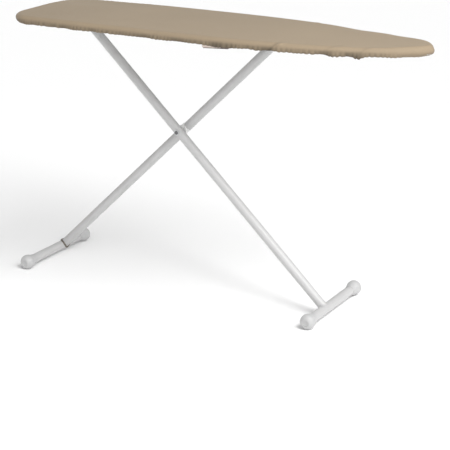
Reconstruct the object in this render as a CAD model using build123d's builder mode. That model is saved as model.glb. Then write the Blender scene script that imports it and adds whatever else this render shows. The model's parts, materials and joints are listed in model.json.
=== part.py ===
from build123d import *
from math import asin, cos, degrees, hypot, pi, radians, sin
import os

os.makedirs("parts", exist_ok=True)

# Folding ironing board on two single-tube legs.
# Frame: +X from the squared tail to the nose, +Y to the far side, +Z up.
# Origin: on the floor, under the middle of the whole object. Millimetres.

# ---- Driving dimensions ------------------------------------------------------------

BOARD_LENGTH = 1372.0     # tail to nose, over the cover
BOARD_WIDTH = 381.0       # over the cover
BOARD_HEIGHT = 860.0      # floor to ironing surface, as set up
TAIL_CORNER = 90.0        # radius of the two tail corners
NOSE_START = 624.0        # the sides begin to draw in here, from the tail
NOSE_POWER = 1.8          # fullness of the nose: 2 is an ellipse, less is more pointed
SKIRT_DEPTH = 22.0        # height of the cover's edge
HEM_WIDTH = 24.0          # how far the hem turns in under the board

COVER_T = 1.6
PAD_T = 5.9
SHEET_T = 1.2             # deck sheet, rim and braces
VENT_R = 5.0
VENT_PITCH = 46.0

HINGE_AT = 178.0          # pin of the hinged leg, from the tail
SLIDE_AT = 878.5          # axle of the sliding leg, from the tail
HINGE_DROP = 29.0         # both pins below the ironing surface
NOSE_FOOT_AT = 1068.5     # foot bar of the hinged leg, from the tail
TAIL_FOOT_AT = 19.5       # foot bar of the sliding leg, from the tail
FOOT_OFFSET = 44.0        # each leg leans this far sideways at its foot
FOLDED_ANGLE = 1.5        # slope of the hinged leg when folded, in degrees

LEG_R = 14.3
LEG_WALL = 1.2
LEG_END = 8.0             # tube beyond its top pin
BAR_R = 14.8
BAR_WALL = 1.4
CAP_R = 23.3
CAP_SPAN = 320.0          # between the middles of the two caps of a foot
CAP_FACE = 18.0           # middle of a cap to its outer face
CAP_SOCKET = 34.0         # middle of a cap to the inner end of its neck

PIN_R = 4.0               # hinge pin and pivot rivet
AXLE_R = 4.0
FIT = 0.05                # radial clearance of turning and pressed fits
SIDE_GAP = 0.5            # side play of the legs on their pins

RAIL_Y = 67.0             # inner face of a rail's web
RAIL_T = 1.6
RAIL_LIP = 11.0           # how far the rail's lips reach in
RAIL_INSIDE = 13.2        # height between the lips
SHOE_LENGTH = 24.0
SHOE_HEIGHT = 11.4
STOP_R = 3.0

ROD_R = 4.75              # height-lock rod
ROD_Y = -50.0
LOCK_AT = 807.0           # lever pin, from the tail
LEVER_PIN_Y = -68.0
LEVER_PIN_R = 3.0
LEVER_T = 3.0
HANDLE_Y = -180.0
HANDLE_TIP_AT = 722.0     # tip of the handle, from the tail

# ---- Derived sizes -----------------------------------------------------------------

TAIL_X = -(BOARD_LENGTH - (CAP_R - TAIL_FOOT_AT)) / 2
HINGE_Z = BOARD_HEIGHT - HINGE_DROP
RISE = HINGE_Z - CAP_R
RUN_A = NOSE_FOOT_AT - HINGE_AT
RUN_B = SLIDE_AT - TAIL_FOOT_AT
LENGTH_A = hypot(RUN_A, RISE)
LENGTH_B = hypot(RUN_B, RISE)
CROSS = (SLIDE_AT - HINGE_AT) / (RUN_A + RUN_B)   # share of each leg above the pivot

PAD_TOP = BOARD_HEIGHT - COVER_T - 0.1
DECK_TOP = PAD_TOP - PAD_T - 0.1
DECK_UNDER = DECK_TOP - SHEET_T
RIM_TOP = DECK_UNDER - 0.1
RIM_UNDER = RIM_TOP - 10.0
HEM_UNDER = BOARD_HEIGHT - SKIRT_DEPTH

hinge = Vector(TAIL_X + HINGE_AT, 0, HINGE_Z)
slide = Vector(TAIL_X + SLIDE_AT, 0, HINGE_Z)
nose_foot = Vector(TAIL_X + NOSE_FOOT_AT, -FOOT_OFFSET, CAP_R)
tail_foot = Vector(TAIL_X + TAIL_FOOT_AT, FOOT_OFFSET, CAP_R)
cross_a = hinge + (nose_foot - hinge) * CROSS
cross_b = slide + (tail_foot - slide) * CROSS
pivot = Vector(cross_a.X, 0, cross_a.Z)

# Folded, the hinged leg lies at FOLDED_ANGLE and the sliding leg at the angle that
# keeps the pivot at one height on both.
slope_a = degrees(asin(RISE / LENGTH_A))
slope_b = degrees(asin(RISE / LENGTH_B))
folded_b = degrees(asin(sin(radians(FOLDED_ANGLE)) * LENGTH_A / LENGTH_B))
folded_slide_x = hinge.X + CROSS * (
    LENGTH_A * cos(radians(FOLDED_ANGLE)) + LENGTH_B * cos(radians(folded_b))
)
print(f"hinge {hinge}  slide {slide}  pivot {pivot}")
print(f"fold {slope_a - FOLDED_ANGLE:.4f} deg, sliding leg {slope_b - folded_b:.4f} deg")
print(f"axle travel {folded_slide_x - slide.X:.2f}")


# ---- Helpers -----------------------------------------------------------------------

def half_width(from_tail, inset=0.0):
    """Half the board's width at a distance from the tail, drawn in by inset."""
    half = BOARD_WIDTH / 2 - inset
    if from_tail <= NOSE_START:
        return half
    along = (from_tail - NOSE_START) / (BOARD_LENGTH - inset - NOSE_START)
    return half * max(1 - along**2, 0) ** (1 / NOSE_POWER)


def outline(inset, height):
    """The board's plan shape at a height: squared tail, straight sides, rounded nose."""
    half = BOARD_WIDTH / 2 - inset
    tail = TAIL_X + inset
    shoulder = TAIL_X + NOSE_START
    reach = BOARD_LENGTH - inset - NOSE_START
    corner = TAIL_CORNER - inset
    steps = 8
    bends = [pi / 2 * k / steps for k in range(steps + 1)]
    nose = [(shoulder + reach * sin(b), half * max(cos(b), 0) ** (2 / NOSE_POWER)) for b in bends]
    with BuildSketch(Plane.XY.offset(height)) as plan:
        with BuildLine():
            Spline(nose, tangents=[(1, 0), (0, -1)])
            Line((shoulder, half), (tail + corner, half))
            RadiusArc((tail + corner, half), (tail, half - corner), -corner)
            Line((tail, half - corner), (tail, 0))
            mirror(about=Plane.XZ)
        make_face()
    return plan.sketch


def leg_plane(top, foot):
    """A plane at a leg's top pin, facing down the leg."""
    return Plane(origin=top, x_dir=(0, 1, 0), z_dir=foot - top)


def save(piece, label):
    """Label a finished piece and write its STEP file."""
    piece.part.label = label
    export_step(piece.part, f"parts/{label}.step")


# ---- Ironing surface ---------------------------------------------------------------

with BuildPart() as cover:
    extrude(outline(0, HEM_UNDER), amount=SKIRT_DEPTH)
    fillet(cover.faces().sort_by(Axis.Z)[-1].edges(), radius=4)
    extrude(outline(COVER_T, HEM_UNDER + COVER_T), amount=SKIRT_DEPTH - 2 * COVER_T, mode=Mode.SUBTRACT)
    extrude(outline(HEM_WIDTH, HEM_UNDER), amount=COVER_T, mode=Mode.SUBTRACT)
save(cover, "cover")

with BuildPart() as foam_pad:
    extrude(outline(2.4, PAD_TOP - PAD_T), amount=PAD_T)
    chamfer(foam_pad.faces().sort_by(Axis.Z)[-1].edges(), length=2.5)
save(foam_pad, "foam_pad")

with BuildPart() as hem_elastic:
    extrude(outline(18, HEM_UNDER + COVER_T + 0.2), amount=1.0)
    extrude(outline(23, HEM_UNDER + COVER_T + 0.2), amount=1.0, mode=Mode.SUBTRACT)
save(hem_elastic, "hem_elastic")

# ---- Deck --------------------------------------------------------------------------

RIM_OUTER = 3.4
RIM_WIDTH = 12.0
RIM_WALL = 1.4
VENT_MARGIN = 34.0

vents = []
for row in range(-3, 4):
    for column in range(29):
        from_tail = 34 + VENT_PITCH * (column + 0.5 * (row % 2))
        y = row * VENT_PITCH
        if abs(y) < half_width(from_tail) - VENT_MARGIN and from_tail < BOARD_LENGTH - VENT_MARGIN:
            vents.append((TAIL_X + from_tail, y))

with BuildPart() as deck_sheet:
    extrude(outline(RIM_OUTER + 1.4, DECK_UNDER), amount=SHEET_T)
    with BuildSketch(Plane.XY.offset(DECK_UNDER)):
        with Locations(vents):
            Circle(VENT_R)
    extrude(amount=SHEET_T, mode=Mode.SUBTRACT)
save(deck_sheet, "deck_sheet")

with BuildPart() as rim_channel:
    extrude(outline(RIM_OUTER, RIM_UNDER), amount=RIM_TOP - RIM_UNDER)
    extrude(outline(RIM_OUTER + RIM_WIDTH, RIM_UNDER), amount=RIM_TOP - RIM_UNDER, mode=Mode.SUBTRACT)
    extrude(
        outline(RIM_OUTER + RIM_WALL, RIM_UNDER + RIM_WALL),
        amount=RIM_TOP - RIM_UNDER - 2 * RIM_WALL,
        mode=Mode.SUBTRACT,
    )
save(rim_channel, "rim_channel")

# Hat-section braces across the underside: distance from the tail, and depth. The
# hinge brace is shallower, because the folded hinged leg passes close under it.
BRACES = {
    "tail_brace": (116.0, 9.0),
    "hinge_brace": (250.0, 5.4),
    "middle_brace": (560.0, 9.0),
    "nose_brace": (1186.0, 9.0),
}
BRACE_WEB = 13.0          # half the width of the hat
BRACE_FLANGE = 22.0       # half the width over its flanges

for brace_name, (brace_at, brace_depth) in BRACES.items():
    brace_under = RIM_TOP - brace_depth
    brace_half = half_width(brace_at + BRACE_FLANGE) - RIM_OUTER - RIM_WIDTH - 1.0
    brace_x = TAIL_X + brace_at
    with BuildPart() as brace:
        with BuildSketch(Plane.XZ.offset(-brace_half)):
            with BuildLine():
                FilletPolyline(
                    (brace_x - BRACE_FLANGE, RIM_TOP - SHEET_T / 2),
                    (brace_x - BRACE_WEB, RIM_TOP - SHEET_T / 2),
                    (brace_x - BRACE_WEB, brace_under + SHEET_T / 2),
                    (brace_x + BRACE_WEB, brace_under + SHEET_T / 2),
                    (brace_x + BRACE_WEB, RIM_TOP - SHEET_T / 2),
                    (brace_x + BRACE_FLANGE, RIM_TOP - SHEET_T / 2),
                    radius=1.5,
                )
                offset(amount=SHEET_T / 2)
            make_face()
        extrude(amount=2 * brace_half)
    save(brace, brace_name)

# ---- Hinge bracket and pin ---------------------------------------------------------

EAR_T = 2.5
EAR_R = 11.0
EAR_FOOT = 20.0           # half an ear's length along the deck
EAR_Y = LEG_R + 2.7       # inner face of an ear
BASE_TOP = RIM_TOP
HINGE_BASE = 56.0

with BuildPart() as hinge_bracket:
    with BuildSketch(Plane.XZ.offset(-(EAR_Y + EAR_T))):
        with BuildLine():
            Line((hinge.X + EAR_FOOT, BASE_TOP), (hinge.X - EAR_FOOT, BASE_TOP))
            Line((hinge.X - EAR_FOOT, BASE_TOP), (hinge.X - EAR_R, HINGE_Z))
            ThreePointArc((hinge.X - EAR_R, HINGE_Z), (hinge.X, HINGE_Z - EAR_R), (hinge.X + EAR_R, HINGE_Z))
            Line((hinge.X + EAR_R, HINGE_Z), (hinge.X + EAR_FOOT, BASE_TOP))
        make_face()
    extrude(amount=2 * (EAR_Y + EAR_T))
    with Locations((hinge.X, 0, HINGE_Z)):
        Box(80, 2 * EAR_Y, 2 * (BASE_TOP - EAR_T - HINGE_Z), mode=Mode.SUBTRACT)
    with Locations((hinge.X, 0, BASE_TOP - EAR_T / 2)):
        Box(HINGE_BASE, 2 * (EAR_Y + EAR_T), EAR_T)
    with Locations(hinge):
        Cylinder(PIN_R + FIT, 60, rotation=(90, 0, 0), mode=Mode.SUBTRACT)
save(hinge_bracket, "hinge_bracket")

PIN_HALF = EAR_Y + EAR_T + 0.3
PIN_HEAD_R = 6.5
PIN_HEAD_T = 2.4

pin_head = Vector(0, PIN_HALF + PIN_HEAD_T / 2, 0)

with BuildPart() as hinge_pin:
    with Locations(hinge):
        Cylinder(PIN_R, 2 * PIN_HALF, rotation=(90, 0, 0))
    with Locations(hinge + pin_head, hinge - pin_head):
        Cylinder(PIN_HEAD_R, PIN_HEAD_T, rotation=(90, 0, 0))
    chamfer(hinge_pin.faces().filter_by(Axis.Y).group_by(Axis.Y)[0].edges(), length=1)
    chamfer(hinge_pin.faces().filter_by(Axis.Y).group_by(Axis.Y)[-1].edges(), length=1)
save(hinge_pin, "hinge_pin")

# ---- Slide rails -------------------------------------------------------------------

RAIL_START = slide.X - SHOE_LENGTH / 2 - 2 * STOP_R - 4
RAIL_END = folded_slide_x + SHOE_LENGTH / 2 + 2 * STOP_R + 4
LIP_LOW = HINGE_Z - RAIL_INSIDE / 2
LIP_HIGH = HINGE_Z + RAIL_INSIDE / 2
RAIL_FOOT = 14.0

for rail_name, side in (("near_rail", -1), ("far_rail", 1)):
    web = RAIL_Y + RAIL_T / 2
    with BuildPart() as rail:
        with BuildSketch(Plane.YZ.offset(RAIL_START)):
            with Locations((side * web, (LIP_LOW - RAIL_T + RIM_TOP) / 2)):
                Rectangle(RAIL_T, RIM_TOP - LIP_LOW + RAIL_T)
            with Locations(
                (side * (RAIL_Y - RAIL_LIP / 2), LIP_LOW - RAIL_T / 2),
                (side * (RAIL_Y - RAIL_LIP / 2), LIP_HIGH + RAIL_T / 2),
            ):
                Rectangle(RAIL_LIP, RAIL_T)
            with Locations((side * (web + RAIL_FOOT / 2), RIM_TOP - RAIL_T / 2)):
                Rectangle(RAIL_FOOT, RAIL_T)
        extrude(amount=RAIL_END - RAIL_START)
    save(rail, rail_name)

STOP_Y = RAIL_Y - 6.0
stop_gap = SHOE_LENGTH / 2 + STOP_R + 0.5

with BuildPart() as rail_stops:
    for stop_x in (slide.X - stop_gap, folded_slide_x + stop_gap):
        with Locations((stop_x, -STOP_Y, HINGE_Z), (stop_x, STOP_Y, HINGE_Z)):
            Cylinder(STOP_R, RAIL_INSIDE - 0.1)
save(rail_stops, "rail_stops")

# ---- Slider: axle, shoes, clips and the height-lock rod ----------------------------

SHOE_INNER = RAIL_Y - RAIL_LIP + 1.0
SHOE_OUTER = RAIL_Y - 1.6

with BuildPart() as slide_axle:
    with Locations(slide):
        Cylinder(AXLE_R, 2 * SHOE_OUTER - 2, rotation=(90, 0, 0))
    chamfer(slide_axle.edges().filter_by(GeomType.CIRCLE), length=0.8)
save(slide_axle, "slide_axle")

for shoe_name, side in (("near_shoe", -1), ("far_shoe", 1)):
    with BuildPart() as shoe:
        with Locations((slide.X, side * (SHOE_INNER + SHOE_OUTER) / 2, HINGE_Z)):
            Box(SHOE_LENGTH, SHOE_OUTER - SHOE_INNER, SHOE_HEIGHT)
        fillet(shoe.edges().filter_by(Axis.Y), radius=5)
        with Locations(slide):
            Cylinder(AXLE_R + FIT, 400, rotation=(90, 0, 0), mode=Mode.SUBTRACT)
    save(shoe, shoe_name)

CLIP_Y = EAR_Y + SIDE_GAP + 1.0
CLIP_T = 1.2
CLIP_R = 7.5

with BuildPart() as axle_clips:
    for clip_y in (-CLIP_Y, CLIP_Y):
        with BuildSketch(Plane.XZ.offset(-clip_y - CLIP_T / 2)):
            with Locations((slide.X, HINGE_Z)):
                Circle(CLIP_R)
                Circle(AXLE_R + FIT, mode=Mode.SUBTRACT)
            with Locations((slide.X, HINGE_Z - CLIP_R)):
                Rectangle(4, CLIP_R, mode=Mode.SUBTRACT)
        extrude(amount=CLIP_T)
save(axle_clips, "axle_clips")

EYE_HALF = 7.0
EYE_WIDTH = 8.0
ROD_TAIL = 352.0          # rod behind the axle; it still passes the lock when folded
ROD_SEAT = 5.0            # the rod ends this far from the axle's middle
ROD_TIP_R = 3.0

with BuildPart() as rod_eye:
    with Locations((slide.X, ROD_Y, HINGE_Z)):
        Box(2 * EYE_HALF, EYE_WIDTH, 2 * EYE_HALF)
    fillet(rod_eye.edges().filter_by(Axis.Y), radius=3)
    with Locations(slide):
        Cylinder(AXLE_R + FIT, 400, rotation=(90, 0, 0), mode=Mode.SUBTRACT)
    with Locations((slide.X - ROD_SEAT - 2, ROD_Y, HINGE_Z)):
        Cylinder(ROD_TIP_R + FIT, 4, rotation=(0, 90, 0), mode=Mode.SUBTRACT)
save(rod_eye, "rod_eye")

with BuildPart() as lock_rod:
    with BuildSketch(Plane.YZ.offset(slide.X - ROD_TAIL)):
        with Locations((ROD_Y, HINGE_Z)):
            Circle(ROD_R)
    extrude(amount=ROD_TAIL - EYE_HALF - 0.1)
    chamfer(lock_rod.faces().sort_by(Axis.X)[0].edges(), length=1.5)
    with BuildSketch(Plane.YZ.offset(slide.X - EYE_HALF - 0.1)):
        with Locations((ROD_Y, HINGE_Z)):
            Circle(ROD_TIP_R)
    extrude(amount=EYE_HALF + 0.1 - ROD_SEAT)
save(lock_rod, "lock_rod")

# ---- Height lock: bracket, lever, pin and spring -----------------------------------

lock_x = TAIL_X + LOCK_AT
LOCK_HALF = 17.0          # middle of the lock to an ear's outer face
LOCK_T = 2.5
LOCK_IN = -40.0
LOCK_OUT = -82.0
LOCK_LOW = HINGE_Z - 13.0
ROD_HOLE_R = ROD_R + 1.3

with BuildPart() as lock_bracket:
    with BuildSketch(Plane.XZ.offset(-LOCK_IN)):
        with Locations((lock_x, (LOCK_LOW + RIM_TOP) / 2)):
            Rectangle(2 * LOCK_HALF, RIM_TOP - LOCK_LOW)
            Rectangle(2 * (LOCK_HALF - LOCK_T), RIM_TOP - LOCK_LOW - 2 * LOCK_T, mode=Mode.SUBTRACT)
    extrude(amount=LOCK_IN - LOCK_OUT)
    with Locations((lock_x, (LOCK_IN + LEVER_PIN_Y + 9) / 2, LOCK_LOW)):
        Box(2 * (LOCK_HALF - LOCK_T), LOCK_IN - LEVER_PIN_Y - 9, 2 * LOCK_T, mode=Mode.SUBTRACT)
    with Locations((lock_x, ROD_Y, HINGE_Z)):
        Cylinder(ROD_HOLE_R, 60, rotation=(0, 90, 0), mode=Mode.SUBTRACT)
    with Locations((lock_x, LEVER_PIN_Y, HINGE_Z)):
        Cylinder(LEVER_PIN_R + FIT, 100, mode=Mode.SUBTRACT)
save(lock_bracket, "lock_bracket")

HUB_R = 6.5
HUB_LOW = HINGE_Z - 9.0
HUB_HIGH = HINGE_Z + 9.0
ARM_HIGH = HEM_UNDER - 3.0
ARM_LOW = ARM_HIGH - 5.0
TIP_HIGH = ARM_HIGH - 2.0
TIP_LOW = ARM_LOW - 5.0
handle_tip_x = TAIL_X + HANDLE_TIP_AT
HANDLE_END = 3.0          # the blade stops this far inside the grip

with BuildPart() as lever_blade:
    with BuildSketch(Plane.YZ.offset(lock_x - LEVER_T / 2)):
        with BuildLine():
            Polyline(
                (ROD_Y + 9, HUB_LOW),
                (ROD_Y + 9, HUB_HIGH),
                (LEVER_PIN_Y, HUB_HIGH),
                (LEVER_PIN_Y - 30, ARM_HIGH),
                (HANDLE_Y - LEVER_T / 2, ARM_HIGH),
                (HANDLE_Y - LEVER_T / 2, ARM_LOW),
                (LEVER_PIN_Y - 30, ARM_LOW),
                (LEVER_PIN_Y, HUB_LOW),
                close=True,
            )
        make_face()
    extrude(amount=LEVER_T)
    with Locations((lock_x, LEVER_PIN_Y, HINGE_Z)):
        Cylinder(HUB_R, HUB_HIGH - HUB_LOW)
    with BuildSketch(Plane.XZ.offset(-HANDLE_Y - LEVER_T / 2)):
        with BuildLine():
            Polyline(
                (lock_x, ARM_LOW),
                (lock_x, ARM_HIGH),
                (handle_tip_x + HANDLE_END, TIP_HIGH),
                (handle_tip_x + HANDLE_END, TIP_LOW),
                close=True,
            )
        make_face()
    extrude(amount=LEVER_T)
    with Locations((lock_x, LEVER_PIN_Y, HINGE_Z)):
        Cylinder(LEVER_PIN_R + FIT, 60, mode=Mode.SUBTRACT)
    with Locations((lock_x, ROD_Y, HINGE_Z)):
        Cylinder(ROD_HOLE_R, 12, rotation=(0, 90, 0), mode=Mode.SUBTRACT)
save(lever_blade, "lever_blade")

GRIP_LENGTH = 62.0
GRIP_WALL = 2.6
GRIP_OVER = 1.6           # grip above the blade's upper edge
BLADE_SHOWS = 2.4         # the blade's lower edge stands out of the grip
grip_slope = (ARM_HIGH - TIP_HIGH) / (lock_x - handle_tip_x - HANDLE_END)
grip_end_x = handle_tip_x + GRIP_LENGTH
grip_end_low = TIP_LOW + BLADE_SHOWS + GRIP_LENGTH * (ARM_LOW - TIP_LOW) / (lock_x - handle_tip_x)

with BuildPart() as lever_grip:
    with BuildSketch(Plane.XZ.offset(-HANDLE_Y - LEVER_T / 2 - GRIP_WALL)):
        with BuildLine():
            Polyline(
                (handle_tip_x, TIP_LOW + BLADE_SHOWS),
                (handle_tip_x, TIP_HIGH + GRIP_OVER),
                (grip_end_x, TIP_HIGH + GRIP_OVER + GRIP_LENGTH * grip_slope),
                (grip_end_x, grip_end_low),
                close=True,
            )
        make_face()
    extrude(amount=LEVER_T + 2 * GRIP_WALL)
    fillet(lever_grip.edges().filter_by(Axis.Z), radius=2.5)
    with BuildSketch(Plane.XZ.offset(-HANDLE_Y - LEVER_T / 2 - 0.1)):
        with BuildLine():
            Polyline(
                (handle_tip_x + HANDLE_END - 0.1, TIP_LOW - 1),
                (handle_tip_x + HANDLE_END - 0.1, TIP_HIGH + 0.1),
                (grip_end_x + 1, TIP_HIGH + 0.1 + (GRIP_LENGTH + 1) * grip_slope),
                (grip_end_x + 1, TIP_LOW - 1),
                close=True,
            )
        make_face()
    extrude(amount=LEVER_T + 0.2, mode=Mode.SUBTRACT)
save(lever_grip, "lever_grip")

PIN_LOW = LOCK_LOW - 2.6

with BuildPart() as lever_pin:
    with BuildSketch(Plane.XY.offset(LOCK_LOW - 0.2)):
        with Locations((lock_x, LEVER_PIN_Y)):
            Circle(LEVER_PIN_R)
    extrude(amount=RIM_TOP - LOCK_LOW)
    with BuildSketch(Plane.XY.offset(PIN_LOW)):
        with Locations((lock_x, LEVER_PIN_Y)):
            Circle(5)
    extrude(amount=LOCK_LOW - 0.1 - PIN_LOW)
    fillet(lever_pin.faces().sort_by(Axis.Z)[0].edges(), radius=1)
save(lever_pin, "lever_pin")

SPRING_WIRE_R = 0.7
SPRING_R = 4.6
SPRING_LOW = HUB_HIGH + 1.2

with BuildPart() as lever_spring:
    with BuildLine():
        coil = Helix(pitch=1.7, height=5.1, radius=SPRING_R, center=(lock_x, LEVER_PIN_Y, SPRING_LOW))
    with BuildSketch(Plane(origin=coil @ 0, z_dir=coil % 0)):
        Circle(SPRING_WIRE_R)
    sweep(is_frenet=True)
save(lever_spring, "lever_spring")

# ---- Rivets under the deck ---------------------------------------------------------

RIVET_R = 3.5
RIVET_T = 1.6
RIVET_COUNT = 4

with BuildPart() as deck_rivets:
    rail_step = (RAIL_END - RAIL_START - 40) / (RIVET_COUNT - 1)
    for index in range(RIVET_COUNT):
        rivet_x = RAIL_START + 20 + index * rail_step
        for rivet_y in (-(RAIL_Y + RAIL_T + 7), RAIL_Y + RAIL_T + 7):
            with Locations((rivet_x, rivet_y, RIM_TOP - RAIL_T - RIVET_T / 2 - 0.05)):
                Cylinder(RIVET_R, RIVET_T)
    for rivet_x in (hinge.X - 23, hinge.X + 23):
        for rivet_y in (-9, 9):
            with Locations((rivet_x, rivet_y, BASE_TOP - EAR_T - RIVET_T / 2 - 0.05)):
                Cylinder(RIVET_R, RIVET_T)
    chamfer(deck_rivets.faces().filter_by(Axis.Z).group_by(Axis.Z)[0].edges(), length=0.6)
save(deck_rivets, "deck_rivets")

# ---- Legs --------------------------------------------------------------------------

BUSH_R = 6.0

LEGS = {
    "hinged_leg": (hinge, nose_foot, cross_a, PIN_R),
    "sliding_leg": (slide, tail_foot, cross_b, AXLE_R),
}

for leg, (top, foot, crossing, bore_r) in LEGS.items():
    down = leg_plane(top, foot)
    reach = (foot - top).length
    with BuildPart() as tube:
        with BuildSketch(down.offset(-LEG_END)):
            Circle(LEG_R)
        extrude(amount=reach + LEG_END)
        with BuildSketch(down.offset(-LEG_END)):
            Circle(LEG_R - LEG_WALL)
        extrude(amount=reach + LEG_END, mode=Mode.SUBTRACT)
        with Locations(foot):
            Cylinder(BAR_R + FIT, 200, rotation=(90, 0, 0), mode=Mode.SUBTRACT)
        with Locations(top):
            Cylinder(BUSH_R + FIT, 60, rotation=(90, 0, 0), mode=Mode.SUBTRACT)
        with Locations(crossing):
            Cylinder(PIN_R + FIT, 60, rotation=(90, 0, 0), mode=Mode.SUBTRACT)
    save(tube, f"{leg}_tube")

    with BuildPart() as bush:
        with Locations(top):
            Cylinder(BUSH_R, 2 * (EAR_Y - SIDE_GAP), rotation=(90, 0, 0))
            Cylinder(bore_r + FIT, 60, rotation=(90, 0, 0), mode=Mode.SUBTRACT)
    save(bush, f"{leg}_bush")

# ---- Scissor pivot -----------------------------------------------------------------

HEAD_R = 6.2
HEAD_T = 2.8
WASHER_R = 9.0
WASHER_T = 1.2
SPACER_R = 17.0
SPACER_NEAR = -1.9        # flat face towards the hinged leg
SPACER_FAR = 11.0         # the saddle wraps the sliding leg this far
SLEEVE_UP = 17.0          # sleeve of the saddle above the pivot
SLEEVE_DOWN = 10.0
SLEEVE_T = 2.4
SLEEVE_BOX = 60.0
rivet_near = cross_a.Y - LEG_R - 0.8
rivet_far = cross_b.Y + LEG_R + 0.8

with BuildPart() as pivot_rivet:
    with BuildSketch(Plane.XZ.offset(-rivet_near + WASHER_T)):
        with Locations((pivot.X, pivot.Z)):
            Circle(HEAD_R)
    extrude(amount=HEAD_T)
    fillet(pivot_rivet.faces().sort_by(Axis.Y)[0].edges(), radius=2.2)
    with BuildSketch(Plane.XZ.offset(-rivet_far - WASHER_T - 2)):
        with Locations((pivot.X, pivot.Z)):
            Circle(HEAD_R - 0.4)
    extrude(amount=2)
    with BuildSketch(Plane.XZ.offset(-rivet_far - WASHER_T)):
        with Locations((pivot.X, pivot.Z)):
            Circle(PIN_R)
    extrude(amount=rivet_far - rivet_near + 2 * WASHER_T)
save(pivot_rivet, "pivot_rivet")

for washer_name, washer_y in (("near_washer", rivet_near), ("far_washer", rivet_far + WASHER_T)):
    with BuildPart() as washer:
        with BuildSketch(Plane.XZ.offset(-washer_y)):
            with Locations((pivot.X, pivot.Z)):
                Circle(WASHER_R)
                Circle(PIN_R + FIT, mode=Mode.SUBTRACT)
        extrude(amount=WASHER_T)
    save(washer, washer_name)

with BuildPart() as pivot_spacer:
    with BuildSketch(Plane.XZ.offset(-SPACER_FAR)):
        with Locations((pivot.X, pivot.Z)):
            Circle(SPACER_R)
    extrude(amount=SPACER_FAR - SPACER_NEAR)
    fillet(pivot_spacer.faces().sort_by(Axis.Y)[0].edges(), radius=1)
    with BuildSketch(leg_plane(slide, tail_foot).offset(CROSS * LENGTH_B - SLEEVE_UP)):
        Circle(LEG_R + SLEEVE_T)
    extrude(amount=SLEEVE_UP + SLEEVE_DOWN)
    with Locations((pivot.X, SPACER_FAR + SLEEVE_BOX / 2, pivot.Z)):
        Box(2 * SLEEVE_BOX, SLEEVE_BOX, 2 * SLEEVE_BOX, mode=Mode.SUBTRACT)
    with BuildSketch(leg_plane(slide, tail_foot)):
        Circle(LEG_R + FIT)
    extrude(amount=LENGTH_B, mode=Mode.SUBTRACT)
    with Locations(pivot):
        Cylinder(PIN_R + FIT, 60, rotation=(90, 0, 0), mode=Mode.SUBTRACT)
save(pivot_spacer, "pivot_spacer")

# ---- Feet --------------------------------------------------------------------------

NECK_R = 18.4
FACE_R = 12.0
RECESS_R = 9.0

for foot_name, foot in (("nose_foot", nose_foot), ("tail_foot", tail_foot)):
    with BuildPart() as bar:
        with Locations((foot.X, 0, CAP_R)):
            Cylinder(BAR_R, CAP_SPAN, rotation=(90, 0, 0))
            Cylinder(BAR_R - BAR_WALL, CAP_SPAN, rotation=(90, 0, 0), mode=Mode.SUBTRACT)
    save(bar, f"{foot_name}_bar")

    for side_name, side in (("near", -1), ("far", 1)):
        middle = CAP_SPAN / 2
        with BuildPart() as cap:
            with BuildSketch(Plane.YZ.offset(foot.X)):
                with BuildLine():
                    Polyline(
                        (side * (middle + CAP_FACE - 1.2), CAP_R),
                        (side * (middle + CAP_FACE - 1.2), CAP_R + RECESS_R),
                        (side * (middle + CAP_FACE), CAP_R + RECESS_R + 0.8),
                        (side * (middle + CAP_FACE), CAP_R + FACE_R),
                    )
                    ThreePointArc(
                        (side * (middle + CAP_FACE), CAP_R + FACE_R),
                        (side * (middle + 13.0), CAP_R + 19.4),
                        (side * (middle + 3.0), 2 * CAP_R),
                    )
                    Line((side * (middle + 3.0), 2 * CAP_R), (side * (middle - 3.0), 2 * CAP_R))
                    ThreePointArc(
                        (side * (middle - 3.0), 2 * CAP_R),
                        (side * (middle - 12.0), CAP_R + 21.0),
                        (side * (middle - 18.0), CAP_R + NECK_R),
                    )
                    Polyline(
                        (side * (middle - 18.0), CAP_R + NECK_R),
                        (side * (middle - CAP_SOCKET), CAP_R + BAR_R + 0.9),
                        (side * (middle - CAP_SOCKET), CAP_R + BAR_R + FIT),
                        (side * (middle + 0.1), CAP_R + BAR_R + FIT),
                        (side * (middle + 0.1), CAP_R),
                        (side * (middle + CAP_FACE - 1.2), CAP_R),
                    )
                make_face()
            revolve(axis=Axis((foot.X, 0, CAP_R), (0, 1, 0)))
        save(cap, f"{foot_name}_{side_name}_cap")
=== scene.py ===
"""Looks of a folding ironing board: cover, pad, legs, feet, lock parts, studio and camera."""

import json
import logging
import math
from dataclasses import dataclass, field
from enum import Enum
from typing import Sequence

import bmesh
import bpy
from mathutils import Matrix, Vector, noise


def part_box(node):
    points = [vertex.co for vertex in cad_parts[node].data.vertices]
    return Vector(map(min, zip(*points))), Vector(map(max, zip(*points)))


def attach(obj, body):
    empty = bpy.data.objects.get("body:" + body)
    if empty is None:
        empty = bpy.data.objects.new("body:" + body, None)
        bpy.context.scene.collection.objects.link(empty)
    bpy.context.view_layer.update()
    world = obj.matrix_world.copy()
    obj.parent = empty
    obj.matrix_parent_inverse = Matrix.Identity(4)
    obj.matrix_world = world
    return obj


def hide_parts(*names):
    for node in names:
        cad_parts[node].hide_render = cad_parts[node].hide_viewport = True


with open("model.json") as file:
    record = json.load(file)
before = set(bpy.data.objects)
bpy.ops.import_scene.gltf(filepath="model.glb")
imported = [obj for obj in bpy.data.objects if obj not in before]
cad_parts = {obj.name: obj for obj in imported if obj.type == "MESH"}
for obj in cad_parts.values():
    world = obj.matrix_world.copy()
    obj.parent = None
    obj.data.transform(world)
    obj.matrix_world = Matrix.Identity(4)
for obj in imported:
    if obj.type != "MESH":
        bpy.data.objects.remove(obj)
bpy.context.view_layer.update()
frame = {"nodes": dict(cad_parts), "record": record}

logging.basicConfig(level=logging.INFO, format="%(message)s")
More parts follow.
